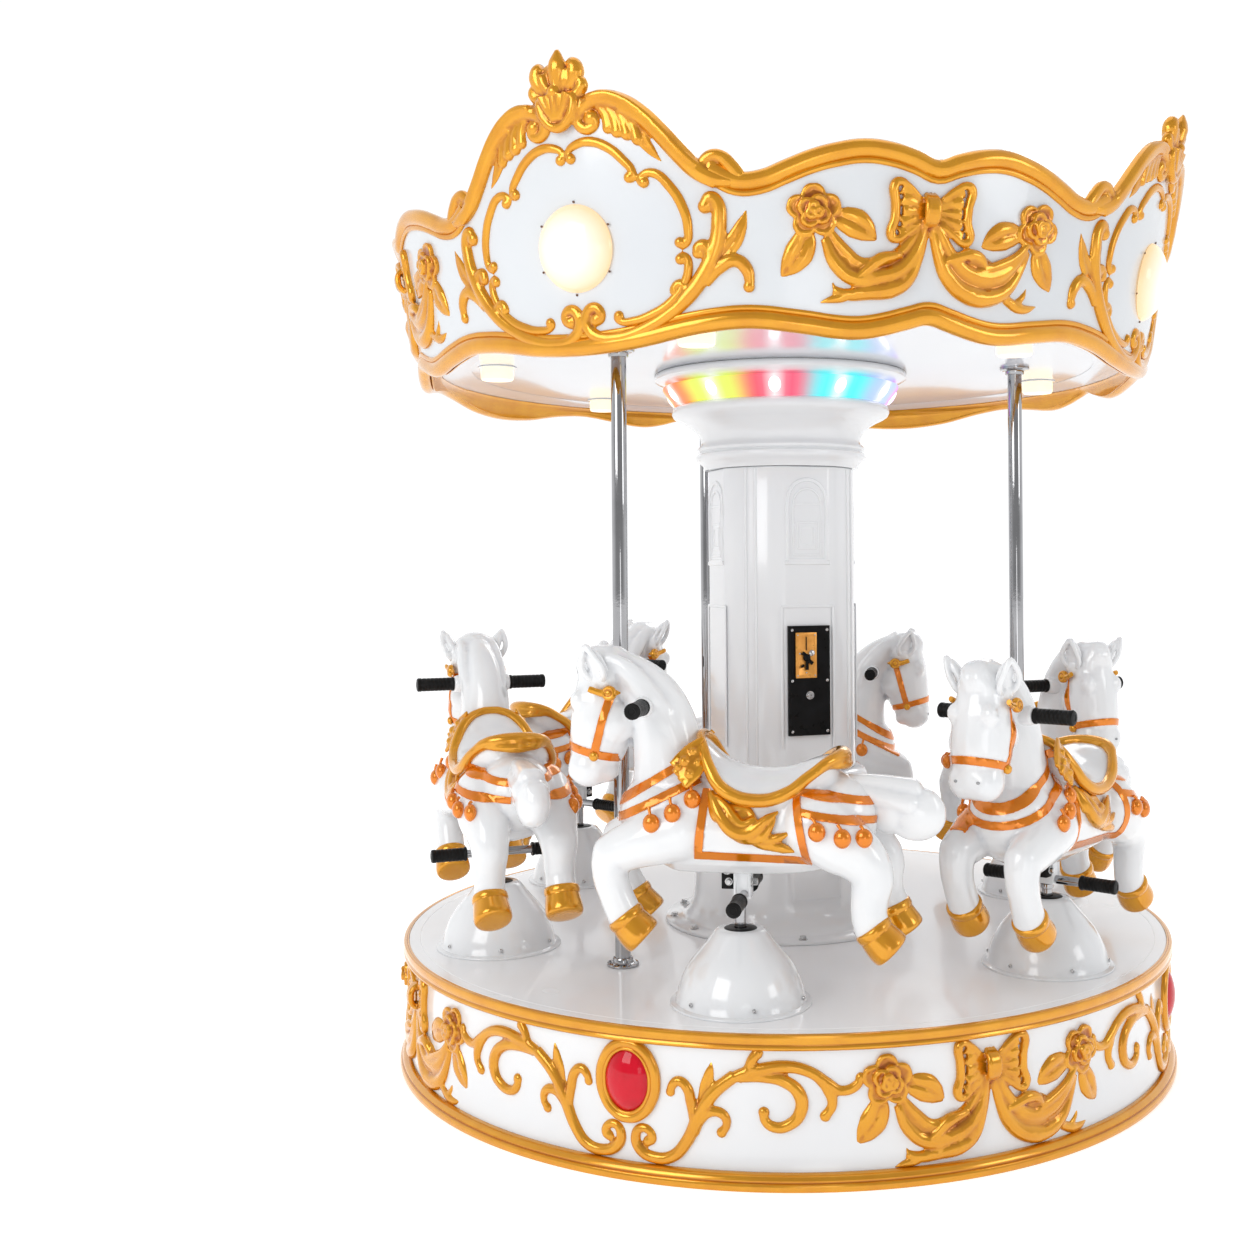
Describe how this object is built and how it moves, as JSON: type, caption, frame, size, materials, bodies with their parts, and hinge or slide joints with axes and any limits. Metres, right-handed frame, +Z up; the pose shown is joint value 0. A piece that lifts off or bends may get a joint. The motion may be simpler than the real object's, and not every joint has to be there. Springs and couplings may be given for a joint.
{
  "type": "fairground carousel",
  "caption": "Small coin-operated carousel: leaping horses on rising posts around a column, under a scalloped canopy with lamps, on a round skirted base.",
  "frame": {"origin": "centre of the round base on the floor", "axes": "+Z up along the turning axis; -Y is the side that the coin panel looks out of most, with +X to its right"},
  "size_m": [2.2232, 2.2232, 2.548],
  "materials": {
    "white_fibreglass": "glossy white gel coat",
    "gold_paint": "glossy metallic gold paint",
    "red_stone": "polished clear red",
    "chrome": "polished",
    "black_panel": "satin black powder coat",
    "lamp_glass": "frosted, lit from within",
    "steel_frame": "matt grey paint"
  },
  "bodies": {
    "base": {"base_skirt": "white_fibreglass", "base_rim": "gold_paint", "base_frame": "steel_frame", "bearing_post": "steel_frame", "stone_1": "red_stone", "stone_2": "red_stone", "stone_3": "red_stone", "stone_4": "red_stone"},
    "turntable": {"deck": "white_fibreglass", "deck_rim": "gold_paint", "column_plinth": "white_fibreglass", "column_shaft": "white_fibreglass", "column_capital": "white_fibreglass", "light_ring": "lamp_glass", "coin_panel": "black_panel", "pole_1": "chrome", "pole_2": "chrome", "pole_3": "chrome", "ceiling": "white_fibreglass", "roof": "white_fibreglass", "fascia_1": "white_fibreglass", "fascia_2": "white_fibreglass", "fascia_3": "white_fibreglass", "fascia_4": "white_fibreglass", "crest_lamp_1": "lamp_glass", "crest_lamp_2": "lamp_glass", "crest_lamp_3": "lamp_glass", "crest_lamp_4": "lamp_glass", "cone_1": "white_fibreglass", "cone_2": "white_fibreglass", "cone_3": "white_fibreglass", "cone_4": "white_fibreglass", "cone_5": "white_fibreglass", "cone_6": "white_fibreglass"},
    "horse_unit_1": {"horse_1": "white_fibreglass", "handlebar_1": "chrome", "carrier_1": "chrome"},
    "horse_unit_2": {"horse_2": "white_fibreglass", "handlebar_2": "chrome", "carrier_2": "chrome"},
    "horse_unit_3": {"horse_3": "white_fibreglass", "handlebar_3": "chrome", "carrier_3": "chrome"},
    "horse_unit_4": {"horse_4": "white_fibreglass", "handlebar_4": "chrome", "carrier_4": "chrome"},
    "horse_unit_5": {"horse_5": "white_fibreglass", "handlebar_5": "chrome", "carrier_5": "chrome"},
    "horse_unit_6": {"horse_6": "white_fibreglass", "handlebar_6": "chrome", "carrier_6": "chrome"}
  },
  "joints": [
    {"name": "carousel_spin", "type": "hinge", "parent": "base", "child": "turntable", "pos_m": [0, 0, 0.33], "axis": [0, 0, 1], "continuous": true},
    {"name": "horse_slide_1", "type": "slide", "parent": "turntable", "child": "horse_unit_1", "axis": [0, 0, 1], "range_m": [-0.045, 0.045]},
    {"name": "horse_slide_2", "type": "slide", "parent": "turntable", "child": "horse_unit_2", "axis": [0, 0, 1], "range_m": [-0.005, 0.085]},
    {"name": "horse_slide_3", "type": "slide", "parent": "turntable", "child": "horse_unit_3", "axis": [0, 0, 1], "range_m": [-0.01, 0.08]},
    {"name": "horse_slide_4", "type": "slide", "parent": "turntable", "child": "horse_unit_4", "axis": [0, 0, 1], "range_m": [-0.005, 0.085]},
    {"name": "horse_slide_5", "type": "slide", "parent": "turntable", "child": "horse_unit_5", "axis": [0, 0, 1], "range_m": [-0.045, 0.045]},
    {"name": "horse_slide_6", "type": "slide", "parent": "turntable", "child": "horse_unit_6", "axis": [0, 0, 1], "range_m": [-0.045, 0.045]}
  ]
}
